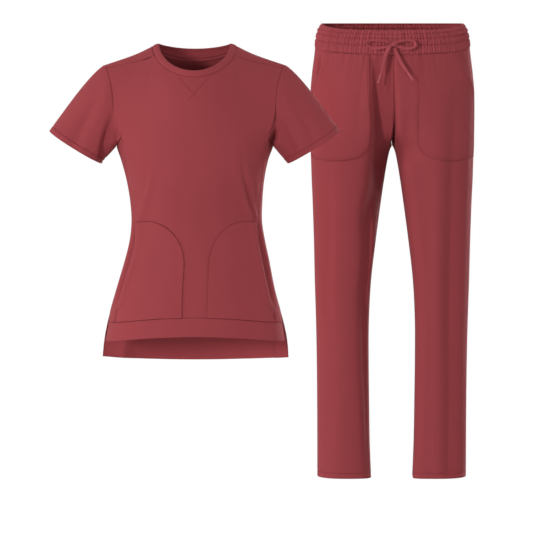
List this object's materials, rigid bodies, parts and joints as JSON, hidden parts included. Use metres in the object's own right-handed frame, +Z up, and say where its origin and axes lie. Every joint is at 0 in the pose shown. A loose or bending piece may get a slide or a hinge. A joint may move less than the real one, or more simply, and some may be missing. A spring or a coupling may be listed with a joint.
{
  "type": "medical scrubs",
  "caption": "Medical scrubs: a short-sleeved top with a longer back, and straight trousers with a drawstring waist, hollow and in the form they have when worn.",
  "frame": {"origin": "middle of the top's collar, where the wearer's shoulders hold it", "axes": "+Z up, the fronts face -Y, +X from the top towards the trousers"},
  "size_m": [0.9365, 0.3928, 1.0096],
  "materials": {
    "top_cloth": "matte stretch-woven",
    "trouser_cloth": "matte stretch-woven",
    "drawstring": "matte flat cord of the same cloth",
    "cord_tip": "dipped, matte"
  },
  "bodies": {
    "root": {"aglet_left": "cord_tip", "aglet_right": "cord_tip", "drawstring_knot": "drawstring", "drawstring_loop_left": "drawstring", "drawstring_loop_right": "drawstring", "drawstring_tail_left": "drawstring", "drawstring_tail_right": "drawstring", "leg_back_left": "trouser_cloth", "leg_back_right": "trouser_cloth", "leg_front_left": "trouser_cloth", "leg_front_right": "trouser_cloth", "leg_pocket_left": "trouser_cloth", "leg_pocket_right": "trouser_cloth", "top_back": "top_cloth", "top_front": "top_cloth", "top_hem_band": "top_cloth", "top_neck_band": "top_cloth", "top_neck_tape": "top_cloth", "top_pocket_left": "top_cloth", "top_pocket_right": "top_cloth", "top_side_left": "top_cloth", "top_side_right": "top_cloth", "top_sleeve_left": "top_cloth", "top_sleeve_right": "top_cloth", "waistband": "trouser_cloth"}
  },
  "joints": []
}
